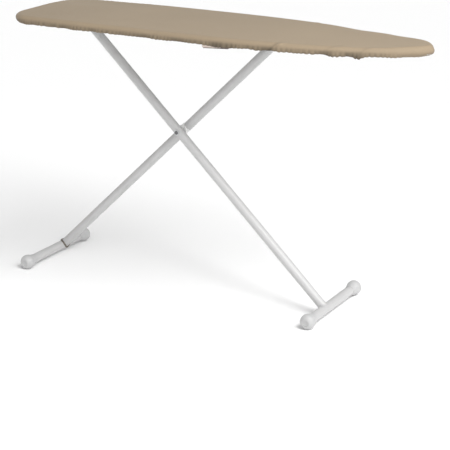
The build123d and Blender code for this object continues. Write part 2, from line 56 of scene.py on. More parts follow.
log = logging.getLogger("ironing_board")

MM = 0.001
Point = tuple[float, float, float]


class Body(Enum):
    """The moving bodies that new pieces ride on."""

    BOARD = "board"
    HINGED_LEG = "hinged_leg"
    SLIDING_LEG = "sliding_leg"


# ---- Bench: the modelling moves every piece is made with ----------------------------


class Bench:
    """Adds primitives, edits them and finishes them with bpy.ops, as by hand."""

    @staticmethod
    def clear() -> None:
        """Leave edit mode and deselect everything."""
        if bpy.context.object and bpy.context.object.mode != "OBJECT":
            bpy.ops.object.mode_set(mode="OBJECT")
        bpy.ops.object.select_all(action="DESELECT")

    @staticmethod
    def take(piece: bpy.types.Object) -> None:
        """Select one piece alone and make it active."""
        Bench.clear()
        piece.select_set(True)
        bpy.context.view_layer.objects.active = piece

    @staticmethod
    def name(piece: bpy.types.Object, label: str) -> bpy.types.Object:
        """Name a piece and its mesh and return the piece."""
        piece.name = label
        piece.data.name = label
        return piece

    @staticmethod
    def place(label: str, data: bpy.types.ID) -> bpy.types.Object:
        """Put a new mesh, light or camera into the scene and return its object."""
        thing = bpy.data.objects.new(label, data)
        bpy.context.scene.collection.objects.link(thing)
        return thing

    @staticmethod
    def settle(piece: bpy.types.Object) -> bpy.types.Object:
        """Move a piece's place, turn and scale into its mesh and return the piece."""
        Bench.take(piece)
        bpy.ops.object.transform_apply(location=True, rotation=True, scale=True)
        return piece

    @staticmethod
    def apply(piece: bpy.types.Object, kind: str, **settings: object) -> None:
        """Add a modifier, set it and apply it.

        Args:
            piece: the object that gets it.
            kind: the modifier's type, such as BEVEL.
            settings: its properties.
        """
        Bench.take(piece)
        modifier = piece.modifiers.new(kind.title(), kind)
        for key, value in settings.items():
            setattr(modifier, key, value)
        bpy.ops.object.modifier_apply(modifier=modifier.name)

    @staticmethod
    def smooth(piece: bpy.types.Object, degrees: float = 35.0) -> bpy.types.Object:
        """Shade a piece smooth except across sharp edges.

        Args:
            piece: the object to shade.
            degrees: edges sharper than this stay crisp.

        Returns:
            The same object.
        """
        Bench.take(piece)
        bpy.ops.object.shade_smooth_by_angle(angle=math.radians(degrees))
        return piece

    @staticmethod
    def mend(piece: bpy.types.Object, distance: float = 1e-6) -> bpy.types.Object:
        """Merge doubles and turn all faces outwards.

        Args:
            piece: the object to mend.
            distance: points closer than this become one.

        Returns:
            The same object.
        """
        Bench.take(piece)
        bpy.ops.object.mode_set(mode="EDIT")
        bpy.ops.mesh.select_all(action="SELECT")
        bpy.ops.mesh.remove_doubles(threshold=distance)
        bpy.ops.mesh.normals_make_consistent(inside=False)
        bpy.ops.object.mode_set(mode="OBJECT")
        return piece


# ---- Finishes -----------------------------------------------------------------------


@dataclass(frozen=True)
class Finish:
    """Common ground of every finish: a name, a base colour and how rough it is."""

    name: str
    colour: Point
    roughness: float

    def start(self) -> tuple[bpy.types.Material, "NodeDesk"]:
        """Begin a material with its shader.

        Returns:
            The material and a desk to add nodes on.
        """
        material = bpy.data.materials.new(self.name)
        material.use_nodes = True
        desk = NodeDesk(material)
        desk.shader.inputs["Base Color"].default_value = (*self.colour, 1)
        desk.shader.inputs["Roughness"].default_value = self.roughness
        return material, desk

    def mottle(
        self, desk: "NodeDesk", pattern: bpy.types.NodeSocket, *tones: tuple[float, float]
    ) -> bpy.types.NodeSocket:
        """Colour the surface along a pattern.

        Args:
            desk: the material's desk.
            pattern: the pattern's socket.
            tones: positions in the pattern, each with a share of the colour.

        Returns:
            The colour's socket.
        """
        stops = [(at, shade(self.colour, share)) for at, share in tones]
        colour = desk.ramp(pattern, stops)
        desk.link(colour, desk.shader.inputs["Base Color"])
        return colour

    def build(self) -> bpy.types.Material:
        """Make the plain material."""
        return self.start()[0]


class NodeDesk:
    """A short hand for wiring a material's nodes."""

    def __init__(self, material: bpy.types.Material) -> None:
        """Keep the tree and its shader.

        Args:
            material: the material to work on.
        """
        self.tree = material.node_tree
        self.shader = self.tree.nodes["Principled BSDF"]

    def add(self, kind: str, **values: object) -> bpy.types.Node:
        """Add a node and set its properties or input sockets by name.

        Args:
            kind: the node's type without the ShaderNode prefix.
            values: properties, or sockets written with _ for a space.

        Returns:
            The new node.
        """
        node = self.tree.nodes.new("ShaderNode" + kind)
        for key, value in values.items():
            if hasattr(node, key):
                setattr(node, key, value)
            else:
                node.inputs[key.replace("_", " ")].default_value = value
        return node

    def link(self, source: bpy.types.NodeSocket, target: bpy.types.NodeSocket) -> None:
        """Join two sockets."""
        self.tree.links.new(source, target)

    def math(self, what: str, first: object, second: object = 0.0) -> bpy.types.NodeSocket:
        """A math node on sockets or numbers.

        Args:
            what: the operation, such as MULTIPLY.
            first: a socket or a number.
            second: a socket or a number.

        Returns:
            The result's socket.
        """
        node = self.add("Math", operation=what)
        for index, value in enumerate((first, second)):
            if isinstance(value, (int, float)):
                node.inputs[index].default_value = value
            else:
                self.link(value, node.inputs[index])
        return node.outputs[0]

    def noise(
        self, place: bpy.types.NodeSocket, scale: float, detail: float = 3.0
    ) -> bpy.types.NodeSocket:
        """A noise pattern.

        Args:
            place: coordinates in metres.
            scale: features per metre.
            detail: octaves.

        Returns:
            The noise value's socket.
        """
        node = self.add("TexNoise", Scale=scale, Detail=detail)
        self.link(place, node.inputs["Vector"])
        return node.outputs["Fac"]

    def object_place(self) -> bpy.types.NodeSocket:
        """Coordinates of the finished object, in metres."""
        return self.add("TexCoord").outputs["Object"]

    def ramp(
        self, value: bpy.types.NodeSocket, stops: Sequence[tuple[float, Point]]
    ) -> bpy.types.NodeSocket:
        """Colours along a value.

        Args:
            value: the value's socket.
            stops: positions and colours.

        Returns:
            The colour's socket.
        """
        node = self.add("ValToRGB")
        band = node.color_ramp
        while len(band.elements) < len(stops):
            band.elements.new(0.5)
        for element, (at, colour) in zip(band.elements, stops):
            element.position = at
            element.color = (*colour, 1)
        self.link(value, node.inputs[0])
        return node.outputs[0]

    def bump(self, height: bpy.types.NodeSocket, distance: float, strength: float = 1.0) -> None:
        """Raise the surface by a height pattern.

        Args:
            height: the pattern's socket.
            distance: full height in metres.
            strength: share of the effect.
        """
        node = self.add("Bump", Distance=distance, Strength=strength)
        self.link(height, node.inputs["Height"])
        self.link(node.outputs["Normal"], self.shader.inputs["Normal"])


def shade(colour: Point, factor: float) -> Point:
    """A colour made lighter or darker by a factor."""
    return tuple(min(channel * factor, 1.0) for channel in colour)


@dataclass(frozen=True)
class Enamel(Finish):
    """Baked enamel on steel: a soft gloss with a faint orange peel and slight soiling.

    Attributes:
        peel: height of the orange peel, in metres.
        coat: share of clear gloss on top.
        coat_roughness: roughness of that gloss.
    """

    peel: float = 0.000015
    coat: float = 0.12
    coat_roughness: float = 0.18

    def build(self) -> bpy.types.Material:
        """Make the enamel."""
        material, desk = self.start()
        place = desk.object_place()
        self.mottle(desk, desk.noise(place, 14.0, 4.0), (0.3, 0.955), (0.7, 1.02))
        wander = desk.math("MULTIPLY", desk.math("SUBTRACT", desk.noise(place, 55.0), 0.5), 0.22)
        desk.link(desk.math("ADD", wander, self.roughness), desk.shader.inputs["Roughness"])
        desk.shader.inputs["Coat Weight"].default_value = self.coat
        desk.shader.inputs["Coat Roughness"].default_value = self.coat_roughness
        desk.bump(desk.noise(place, 900.0, 1.0), self.peel)
        return material


@dataclass(frozen=True)
class Moulded(Finish):
    """Moulded plastic: smooth, slightly waxy, with a fine grain."""

    grain: float = 0.00001

    def build(self) -> bpy.types.Material:
        """Make the plastic."""
        material, desk = self.start()
        place = desk.object_place()
        self.mottle(desk, desk.noise(place, 40.0), (0.3, 0.965), (0.7, 1.01))
        desk.bump(desk.noise(place, 2600.0, 2.0), self.grain)
        return material


@dataclass(frozen=True)
class Plated(Finish):
    """Zinc-plated or bare steel with a fine brushed grain and dull spots."""

    metallic: float = 1.0
    grain: float = 0.00003

    def build(self) -> bpy.types.Material:
        """Make the metal."""
        material, desk = self.start()
        place = desk.object_place()
        desk.shader.inputs["Metallic"].default_value = self.metallic
        spots = desk.noise(place, 120.0, 5.0)
        self.mottle(desk, spots, (0.35, 0.84), (0.65, 1.06))
        wander = desk.math("MULTIPLY", desk.math("SUBTRACT", spots, 0.5), 0.3)
        desk.link(desk.math("ADD", wander, self.roughness), desk.shader.inputs["Roughness"])
        desk.bump(desk.noise(place, 1800.0, 2.0), self.grain)
        return material


@dataclass(frozen=True)
class Cotton(Finish):
    """Woven cotton: crossing threads, slubs, a broad uneven tone, a soft sheen and painted shade in
    the gathers, creases and low skirt.

    Attributes:
        thread: width of two crossing threads, in metres.
        uv: the UV map that holds the flat cloth.
        fold_shade: how far the painted shade in the gathers, creases and low skirt darkens the cloth
            towards the deep tone.
        deep: the darkest painted shade, as a share of the colour.
        weave_height: height of the weave, in metres.
    """

    thread: float = 0.00075
    uv: str = "cloth"
    fold_shade: float = 0.8
    deep: float = 0.28
    weave_height: float = 0.00012

    def slubs(self, desk: NodeDesk, cloth: bpy.types.NodeSocket, scale: Point) -> bpy.types.NodeSocket:
        """Thick places in the threads of one direction.

        Args:
            desk: the material's desk.
            cloth: places on the flat cloth.
            scale: features per metre in each direction.

        Returns:
            The pattern's socket.
        """
        stretch = desk.add("Mapping")
        stretch.inputs["Scale"].default_value = scale
        desk.link(cloth, stretch.inputs["Vector"])
        return desk.noise(stretch.outputs["Vector"], 1.0, 2.0)

    def build(self) -> bpy.types.Material:
        """Make the cloth."""
        material, desk = self.start()
        cloth = desk.add("UVMap", uv_map=self.uv).outputs["UV"]
        split = desk.add("SeparateXYZ")
        desk.link(cloth, split.inputs[0])
        turns = 2 * math.pi / self.thread
        warp = desk.math("SINE", desk.math("MULTIPLY", split.outputs["X"], turns))
        weft = desk.math("SINE", desk.math("MULTIPLY", split.outputs["Y"], turns))
        weave = desk.math("MULTIPLY", warp, weft)
        slub = self.slubs(desk, cloth, (40.0, 900.0, 1.0))
        slub_across = self.slubs(desk, cloth, (900.0, 40.0, 1.0))
        broad = desk.noise(desk.object_place(), 2.2, 3.0)
        tone = desk.math("ADD", desk.math("MULTIPLY", broad, 0.5), desk.math("MULTIPLY", slub, 0.25))
        tone = desk.math("ADD", tone, desk.math("MULTIPLY", slub_across, 0.25))
        plain = self.mottle(desk, tone, (0.36, 0.91), (0.64, 1.08))
        # Painted shade: the fold attribute mixes the cloth towards the deep tone where the gathers,
        # creases and low skirt lie in shade.
        fold = desk.add("Attribute", attribute_name="fold").outputs["Fac"]
        depth = desk.math("MULTIPLY", fold, self.fold_shade)
        mix = desk.add("Mix", data_type="RGBA", blend_type="MIX")
        desk.link(depth, mix.inputs[0])
        desk.link(plain, mix.inputs[6])
        mix.inputs[7].default_value = (*shade(self.colour, self.deep), 1)
        desk.link(mix.outputs[2], desk.shader.inputs["Base Color"])
        desk.shader.inputs["Sheen Weight"].default_value = 0.12
        desk.shader.inputs["Sheen Roughness"].default_value = 0.5
        desk.shader.inputs["Specular IOR Level"].default_value = 0.4
        thick = desk.math("ADD", slub, slub_across)
        height = desk.math("ADD", desk.math("MULTIPLY", weave, 0.5), thick)
        desk.bump(height, self.weave_height, 0.6)
        return material


class Finishes:
    """Every finish of the board, made once."""

    LIST = {
        "cover_cotton": Cotton("cover_cotton", (0.290, 0.224, 0.147), 0.7),
        "pad_foam": Moulded("pad_foam", (0.80, 0.77, 0.68), 0.95),
        "elastic_band": Moulded("elastic_band", (0.78, 0.76, 0.70), 0.85),
        "deck_steel": Enamel("deck_steel", (0.60, 0.60, 0.595), 0.38),
        "bracket_steel": Enamel("bracket_steel", (0.58, 0.58, 0.575), 0.4),
        "lever_steel": Enamel("lever_steel", (0.09, 0.06, 0.05), 0.42),
        "zinc_steel": Plated("zinc_steel", (0.62, 0.63, 0.64), 0.32),
        "spring_wire": Plated("spring_wire", (0.34, 0.34, 0.35), 0.35),
        "leg_enamel": Enamel("leg_enamel", (0.50, 0.497, 0.496), 0.4),
        # Bare weld scale, made dark as painted shade for the shadow where the sliding leg meets its
        # foot bar.
        "weld_scale": Plated("weld_scale", (0.15, 0.132, 0.105), 0.5, metallic=0.15),
        "dark_rivet": Plated("dark_rivet", (0.17, 0.17, 0.175), 0.4),
        "cap_plastic": Moulded("cap_plastic", (0.48, 0.48, 0.48), 0.42),
        "nylon": Moulded("nylon", (0.76, 0.76, 0.75), 0.42),
        "grip_plastic": Moulded("grip_plastic", (0.70, 0.60, 0.54), 0.5),
    }

    def __init__(self) -> None:
        """Build all of them."""
        self.made = {slot: finish.build() for slot, finish in self.LIST.items()}

    def dress(self, piece: bpy.types.Object, slot: str) -> None:
        """Give a whole piece one finish.

        Args:
            piece: the object to dress.
            slot: the material slot's name.
        """
        if not piece.data.materials:
            piece.data.materials.append(None)
        for index in range(len(piece.data.materials)):
            piece.data.materials[index] = self.made[slot]

    def dress_frame(self) -> None:
        """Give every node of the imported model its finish."""
        for part in frame["record"]["subparts"]:
            self.dress(frame["nodes"][part["node"]], part["material_slot"])


def fit(
    piece: bpy.types.Object, finishes: Finishes, slot: str, body: Body, *nodes: str, finish: str = ""
) -> None:
    """Dress a new piece, put it on its body and let it stand for model nodes.

    Args:
        piece: the new object.
        finishes: the finishes.
        slot: material slot it takes its finish from.
        body: the body it moves with.
        nodes: the model nodes it stands for.
        finish: another finish to wear, where it isn't the slot's own.
    """
    finishes.dress(piece, finish or slot)
    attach(piece, body.value)
    if nodes:
        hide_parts(*nodes)
    log.info("%s on %s", piece.name, body.value)


# ---- Cloth and foam on the board's plan shape ---------------------------------------


@dataclass
class PlanShape:
    """The board seen from above: squared tail, straight sides and a rounded nose."""

    tail_x: float
    length: float
    half_width: float
    corner: float = 90 * MM
    nose_start: float = 624 * MM
    nose_power: float = 1.8
    step: float = 3.6 * MM
    columns: int = 34
    side: list[tuple[float, float]] = field(default_factory=list)

    def __post_init__(self) -> None:
        """Space points evenly along one side, from the tail's corner to the nose."""
        fine = 3000
        reach = self.length - self.nose_start
        dense = []
        for index in range(fine + 1):
            bend = math.pi / 2 * index / fine
            across = self.half_width - self.corner * (1 - math.sin(bend))
            dense.append((self.corner * (1 - math.cos(bend)), across))
        for index in range(fine + 1):
            bend = math.pi / 2 * index / fine
            width = self.half_width * max(math.cos(bend), 0.0) ** (2 / self.nose_power)
            dense.append((self.nose_start + reach * math.sin(bend), width))
        run = 0.0
        total = sum(math.dist(a, b) for a, b in zip(dense, dense[1:]))
        count = round(total / self.step)
        gap = total / count
        self.side.append(dense[0])
        for a, b in zip(dense, dense[1:]):
            piece = math.dist(a, b)
            while piece > 0 and len(self.side) * gap <= run + piece and len(self.side) < count:
                share = (len(self.side) * gap - run) / piece
                self.side.append((a[0] + (b[0] - a[0]) * share, a[1] + (b[1] - a[1]) * share))
            run += piece

    def across(self) -> list[float]:
        """Shares of the half width at which the top's columns lie, closer at the edges."""
        return [math.sin(math.pi / 2 * (2 * j / self.columns - 1)) for j in range(self.columns + 1)]

    def rim(self) -> list[tuple[Vector, Vector]]:
        """The outline as a closed run of points, each with its outward direction.

        Returns:
            Pairs of a point and a unit vector, from the tail's near corner round by the far side.
        """
        half = self.side[0][1]
        points = [Vector((0.0, half * share)) for share in self.across()]
        points += [Vector(p) for p in self.side[1:]]
        points.append(Vector((self.length, 0.0)))
        points += [Vector((s, -y)) for s, y in reversed(self.side[1:])]
        run = []
        for index, point in enumerate(points):
            way = (points[(index + 1) % len(points)] - points[index - 1]).normalized()
            run.append((point, Vector((-way.y, way.x))))
        return run


@dataclass
class Station:
    """One turn of the outline's cross-section: how far in, how high, and how much it gathers."""

    inset: float
    height: float
    outward: float = 0.0
    downward: float = 0.0
    run: float = 0.0


class Slab:
    """A mesh that covers the plan shape and follows a cross-section round its edge."""

    def __init__(self, plan: PlanShape, stations: Sequence[Station], closed: bool) -> None:
        """Lay out the points and faces.

        Args:
            plan: the plan shape.
            stations: cross-section from the top's edge outwards and down.
            closed: whether a bottom closes it.
        """
        self.plan = plan
        self.stations = stations
        self.points: list[Vector] = []
        self.cloth: list[tuple[float, float]] = []
        # Painted shade for each point, from 0 to 1, later kept as the fold attribute.
        self.folds: dict[int, float] = {}
        self.faces: list[tuple[int, ...]] = []
        self.rings: list[list[int]] = []
        self.rim = plan.rim()
        run = 0.0
        for index, station in enumerate(stations):
            if index:
                before = stations[index - 1]
                run += math.hypot(station.inset - before.inset, station.height - before.height)
            station.run = run
        self.lay_top(stations[0], up=True)
        self.lay_edge()
        if closed:
            self.close_bottom()

    def inner_side(self, inset: float) -> list[tuple[float, float]]:
        """The outline's far side drawn in by an inset, from the tail's corner to the tip."""
        start = self.plan.columns
        count = len(self.plan.side)
        pairs = self.rim[start : start + count]
        return [tuple(point - out * inset) for point, out in pairs]

    def lay_top(self, station: Station, up: bool) -> None:
        """Lay a grid over the whole plan shape at one station.

        Args:
            station: its inset and height.
            up: whether it faces upwards.
        """
        first = len(self.points)
        side = self.inner_side(station.inset)
        side[0] = (station.inset, self.rim[self.plan.columns][0].y)
        across = self.plan.across()
        for s, y in side:
            for share in across:
                self.points.append(Vector((s, y * share, station.height)))
                self.cloth.append((s, y * share))
        tip = len(self.points)
        self.points.append(Vector((self.plan.length - station.inset, 0, station.height)))
        self.cloth.append((self.plan.length - station.inset, 0.0))
        wide = len(across)
        faces = []
        for row in range(len(side) - 1):
            for column in range(wide - 1):
                a = first + row * wide + column
                faces.append((a, a + wide, a + wide + 1, a + 1))
        last = first + (len(side) - 1) * wide
        for column in range(wide - 1):
            faces.append((last + column, tip, last + column + 1))
        self.faces += faces if up else [tuple(reversed(face)) for face in faces]
        ring = [first + j for j in range(wide)]
        ring += [first + row * wide + wide - 1 for row in range(1, len(side))]
        ring.append(tip)
        ring += [first + row * wide for row in range(len(side) - 1, 0, -1)]
        self.rings.append(ring)

    def lay_edge(self) -> None:
        """Lay the rings that follow the cross-section."""
        for station in self.stations[1:]:
            ring = []
            for point, out in self.rim:
                place = point - out * station.inset
                flat = point + out * (station.run - self.stations[0].inset)
                ring.append(len(self.points))
                self.points.append(Vector((place.x, place.y, station.height)))
                self.cloth.append((flat.x, flat.y))
            self.bridge(self.rings[-1], ring)
            self.rings.append(ring)

    def bridge(self, upper: Sequence[int], lower: Sequence[int]) -> None:
        """Join two rings with faces."""
        count = len(upper)
        for k in range(count):
            nxt = (k + 1) % count
            self.faces.append((upper[k], upper[nxt], lower[nxt], lower[k]))

    def close_bottom(self) -> None:
        """Close the mesh below its last ring."""
        last = self.rings[-1]
        bottom = Station(self.stations[-1].inset + 2 * MM, self.stations[-1].height)
        self.lay_top(bottom, up=False)
        self.bridge(last, self.rings[-1])

    def make(self, label: str) -> bpy.types.Object:
        """Turn the points and faces into an object.

        Args:
            label: its name.

        Returns:
            The new object, with the flat cloth as its UV map and its painted shade in the fold
            attribute.
        """
        Bench.clear()
        mesh = bpy.data.meshes.new(label)
        shift = Vector((self.plan.tail_x, 0, 0))
        mesh.from_pydata([tuple(p + shift) for p in self.points], [], self.faces)
        layer = mesh.uv_layers.new(name="cloth")
        for loop in mesh.loops:
            layer.data[loop.index].uv = self.cloth[loop.vertex_index]
        # The painted shade goes into the fold point attribute.
        fold = mesh.attributes.new("fold", "FLOAT", "POINT")
        for index, value in self.folds.items():
            fold.data[index].value = value
        return Bench.place(label, mesh)


@dataclass
class Gathers:
    """How the elastic puckers the hem along the outline.

    Attributes:
        pitch: distance from fold to fold.
        depth: how far a fold stands out.
        sag: how far a fold hangs down.
        wander: how far the folds drift from even spacing, in folds.
        least: height of the smallest folds.
        near_bumps: where the near hem hangs lower: distance from the tail, depth, half width.
        far_bump: the same for the far hem.
    """

    pitch: float = 13.5 * MM
    depth: float = 3.1 * MM
    sag: float = 3.6 * MM
    wander: float = 2.2
    least: float = 0.15
    near_bumps: tuple[tuple[float, float, float], ...] = (
        (1113 * MM, 3.4 * MM, 11 * MM),
        (1192 * MM, 6.0 * MM, 13 * MM),
        (1160 * MM, 2.0 * MM, 30 * MM),
        (772 * MM, 5.2 * MM, 22 * MM),
        (815 * MM, 2.6 * MM, 22 * MM),
        (905 * MM, 1.6 * MM, 22 * MM),
    )
    far_bump: tuple[float, float, float] = (640 * MM, 1.2 * MM, 60 * MM)

    def strength(self, s: float) -> float:
        """How strongly the hem gathers at a distance from the tail: weak round the tip."""
        nose = 1 - 0.75 * smooth_step(1240 * MM, 1330 * MM, s)
        tail = 0.85 + 0.15 * smooth_step(60 * MM, 260 * MM, s)
        rich = 1 + 0.45 * bell(s, 1130 * MM, 90 * MM)
        return nose * tail * rich

    def pucker(self, along: float, s: float) -> float:
        """Height of the pucker, from 0 in a crease to about 1 on a fold.

        Args:
            along: distance along the outline.
            s: distance from the tail.

        Returns:
            The height.
        """
        drift = self.wander * noise.noise(Vector((along * 13.0, 3.1, 0.0)))
        phase = along / self.pitch + drift
        fold = abs(math.sin(math.pi * phase)) ** 0.75
        size = 0.7 + 1.3 * noise.noise(Vector((along * 27.0, 9.7, 0.0)))
        return max(size, self.least) * fold * self.strength(s)

    def droop(self, s: float, y: float) -> float:
        """How much lower the hem hangs at a place, by its bumps."""
        bumps = (self.far_bump,) if y > 0 else self.near_bumps
        return sum(deep * bell(s, at, wide) for at, deep, wide in bumps)


def smooth_step(low: float, high: float, value: float) -> float:
    """Rise smoothly from 0 at low to 1 at high."""
    share = min(max((value - low) / (high - low), 0.0), 1.0)
    return share * share * (3 - 2 * share)


def bell(value: float, middle: float, width: float) -> float:
    """A bell curve: 1 at the middle and about a third at one width from it."""
    return math.exp(-(((value - middle) / width) ** 2))


@dataclass
class Crease:
    """A pulled crease across the edge of the cloth, between two flat places."""

    start: tuple[float, float]
    end: tuple[float, float]
    depth: float
    width: float

    def lift(self, flat: tuple[float, float]) -> float:
        """Lift of the cloth at a flat place: a valley with a low ridge beside it."""
        a, b, p = Vector(self.start), Vector(self.end), Vector(flat)
        way = b - a
        share = (p - a).dot(way) / way.length_squared
        fade = smooth_step(-0.15, 0.2, share) * (1 - smooth_step(0.7, 1.1, share))
        if fade == 0:
            return 0.0
        off = (way.x * (p.y - a.y) - way.y * (p.x - a.x)) / way.length
        valley = bell(off, 0.0, self.width)
        ridge = bell(off, -1.9 * self.width, 1.3 * self.width)
        return self.depth * fade * (ridge - 0.5 * valley)


@dataclass
class Fullness:
    """How the padding stands fuller at the nose and sags a little behind it.

    Attributes:
        base: height below which nothing moves.
        top: height that moves fully.
        nose_lift: how much higher the nose stands.
        far_bulge: how much further out the nose's far side stands.
        far_sag: how much lower the far edge lies behind the nose.
        tail_sag: how much lower the tail's far corner lies.
    """

    base: float
    top: float
    nose_lift: float = 5.5 * MM
    far_bulge: float = 8.5 * MM
    far_sag: float = 4.0 * MM
    tail_sag: float = 5.0 * MM

    def push(self, point: Vector) -> None:
        """Move a point of the cover or the pad with the padding.

        Args:
            point: the point, measured from the tail.
        """
        high = min(max((point.z - self.base) / (self.top - self.base), 0.0), 1.0)
        nose = smooth_step(1200 * MM, 1350 * MM, point.x)
        far = smooth_step(-10 * MM, 50 * MM, point.y)
        tip = 1 - smooth_step(1362 * MM, 1372 * MM, point.x)
        sag = bell(point.x, 1090 * MM, 75 * MM)
        edge = smooth_step(90 * MM, 150 * MM, point.y)
        tail = 1 - smooth_step(60 * MM, 420 * MM, point.x)
        corner = tail * smooth_step(20 * MM, 150 * MM, point.y)
        lift = self.nose_lift * nose - self.far_sag * sag * edge - self.tail_sag * corner
        point.z += high * lift
        point.y += high * self.far_bulge * nose * far * tip


@dataclass
class Cover:
    """The cotton cover: one sheet over the pad, gathered under the board by its hem.

    Attributes:
        plan: the board seen from above.
        top: height of its top.
        under: height of the hem below the rim.
        fullness: the padding's shape.
        edge_reach: how far in the top's rounded edge begins.
        edge_drop: how far down that edge ends.
        roll_radius: radius of the turn under the rim.
        thickness: thickness of the cotton.
        cap: furthest that settling moves a point.
        inward_cap: furthest that it moves a point inward.
        unevenness: height of the padding's slow waves.
        hem_insets: how far in the hem's rows lie, in millimetres.
        seam_row: the ring that the hem's stitches follow.
        settle_frames: how many steps the cloth settles for.
        flat_size: width and length of the cut cloth; not used.
        flat_area: its area; not used.
        gathers: the elastic's folds.
        creases: pulled creases across the edge.
    """

    plan: PlanShape
    top: float
    under: float
    fullness: Fullness
    edge_reach: float = 17 * MM
    edge_drop: float = 13 * MM
    roll_radius: float = 5 * MM
    thickness: float = 0.9 * MM
    cap: float = 3 * MM
    inward_cap: float = 0.4 * MM
    unevenness: float = 0.45 * MM
    hem_insets: tuple[float, ...] = (8.0, 11.0, 14.5, 18.0, 21.0, 24.0)
    seam_row: int = 13
    settle_frames: int = 12
    flat_size: tuple[float, float] = (0.473, 1.464)
    flat_area: float = 0.60
    gathers: Gathers = field(default_factory=Gathers)
    creases: tuple[Crease, ...] = (
        Crease((0.925, -0.212), (0.972, -0.140), 3.2 * MM, 5.0 * MM),
        Crease((0.545, -0.212), (0.590, -0.165), 0.5 * MM, 6 * MM),
        Crease((1.100, -0.150), (1.150, -0.095), 1.2 * MM, 6 * MM),
        Crease((1.200, -0.125), (1.225, -0.080), 1.4 * MM, 5 * MM),
        Crease((0.300, 0.212), (0.340, 0.150), 0.7 * MM, 6 * MM),
        Crease((0.905, 0.205), (0.960, 0.140), 0.8 * MM, 6 * MM),
    )

    def stations(self) -> list[Station]:
        """The cross-section from the top's edge to the end of the hem."""
        run = [Station(self.edge_reach, self.top)]
        for step, out in ((1, 0.0), (2, 0.0), (3, 0.0), (4, 0.0), (5, 0.04), (6, 0.1)):
            bend = math.pi / 2 * step / 6
            run.append(
                Station(
                    self.edge_reach * (1 - math.sin(bend)),
                    self.top - self.edge_drop * (1 - math.cos(bend)),
                    out,
                )
            )
        low = self.under + self.roll_radius
        high = run[-1].height
        for share, out in ((0.5, 0.3), (1.0, 0.7)):
            run.append(Station(0.0, high + (low - high) * share, out, 0.2 * share))
        for step in (1, 2, 3):
            bend = math.pi / 2 * step / 3
            run.append(
                Station(
                    self.roll_radius * (1 - math.cos(bend)),
                    low - self.roll_radius * math.sin(bend),
                    0.95 * math.cos(bend) + 0.05,
                    0.3 + 0.7 * math.sin(bend),
                )
            )
        for inset in self.hem_insets:
            run.append(Station(inset * MM, self.under, 0.0, 1.0))
        return run

    def shape(self, slab: Slab) -> None:
        """Press the gathers, creases and the pad's unevenness into the cloth, and paint shade into the
        low skirt, the gathers' hollows and the creases.

        Args:
            slab: the cloth before it becomes a mesh.
        """
        for point in slab.points[: slab.rings[1][0]]:
            soft = noise.noise(Vector((point.x * 9.0, point.y * 11.0, 1.3)))
            point.z += self.unevenness * soft
        for point in slab.points:
            self.fullness.push(point)
        for station, ring in zip(slab.stations[1:], slab.rings[1:]):
            along = 0.0
            # Painted shade: it grows towards the low skirt and hem, which lie in shade under the
            # board's rounded edge.
            low = 1 - smooth_step(self.under + 2 * MM, self.top - 6 * MM, station.height)
            before = slab.rim[0][0]
            for index, (place, out) in zip(ring, slab.rim):
                along += (place - before).length
                before = place
                pucker = self.gathers.pucker(along, place.x)
                droop = self.gathers.droop(place.x, place.y)
                swell = (pucker - 0.45) * self.gathers.depth * station.outward
                # Painted shade: darker in the hollows between gathers and where the hem hangs lower,
                # lighter round the nose.
                gather_shade = 1 - 0.7 * smooth_step(1230 * MM, 1330 * MM, place.x)
                hollow_shade = 1 - min(pucker * 1.3, 1.0)
                hanging_shade = min(droop / (5 * MM), 1.0)
                slab.folds[index] = low * gather_shade * (0.5 + 0.5 * hollow_shade + 0.5 * hanging_shade)
                point = slab.points[index]
                point.x += out.x * swell
                point.y += out.y * swell
                point.z -= station.downward * ((pucker - 0.3) * self.gathers.sag + droop)
        half = slab.plan.half_width
        for index, (point, flat) in enumerate(zip(slab.points, slab.cloth)):
            lift = sum(crease.lift(flat) for crease in self.creases)
            # Painted shade in the crease's valley: one full share for each 3 mm that the cloth sinks.
            if lift < 0:
                slab.folds[index] = slab.folds.get(index, 0.0) - lift / (3 * MM)
            if lift:
                side = smooth_step(0.8 * half, 1.1 * half, abs(flat[1]))
                point.z += lift * (1 - side)
                point.y += math.copysign(lift * side, flat[1])

    def settle(self, piece: bpy.types.Object, slab: Slab) -> None:
        """Let the skirt and hem settle as cloth, held by the top, no further than the cap.

        Args:
            piece: the cover's mesh.
            slab: its layout.
        """
        group = piece.vertex_groups.new(name="held")
        first_ring = slab.rings[1][0]
        group.add(list(range(first_ring)), 1.0, "REPLACE")
        for number, ring in enumerate(slab.rings[1:], start=1):
            hold = max(1.0 - 0.11 * number, 0.05)
            group.add(ring, hold, "REPLACE")
        before = [vertex.co.copy() for vertex in piece.data.vertices]
        Bench.take(piece)
        modifier = piece.modifiers.new("Cloth", "CLOTH")
        cloth = modifier.settings
        cloth.quality = 5
        cloth.mass = 0.2
        cloth.tension_stiffness = 12
        cloth.compression_stiffness = 12
        cloth.bending_stiffness = 0.6
        cloth.vertex_group_mass = "held"
        cloth.pin_stiffness = 2.0
        cloth.use_pressure = False
        modifier.collision_settings.use_collision = False
        scene = bpy.context.scene
        for number in range(1, self.settle_frames + 1):
            scene.frame_set(number)
        bpy.ops.object.modifier_apply(modifier=modifier.name)
        scene.frame_set(1)
        self.hold_back(piece, slab, before)

    def hold_back(self, piece: bpy.types.Object, slab: Slab, before: Sequence[Vector]) -> None:
        """Keep the settled cloth near its shape and off the steel rim.

        Args:
            piece: the cover's mesh.
            slab: its layout.
            before: the points before it settled.
        """
        inward = {}
        for ring in slab.rings[1:]:
            for index, (_, out) in zip(ring, slab.rim):
                inward[index] = Vector((-out.x, -out.y, 0))
        for index, start in enumerate(before):
            vertex = piece.data.vertices[index]
            move = vertex.co - start
            if index in inward:
                excess = move.dot(inward[index]) - self.inward_cap
                if excess > 0:
                    move -= inward[index] * excess
            if move.length > self.cap:
                move *= self.cap / move.length
            vertex.co = start + move

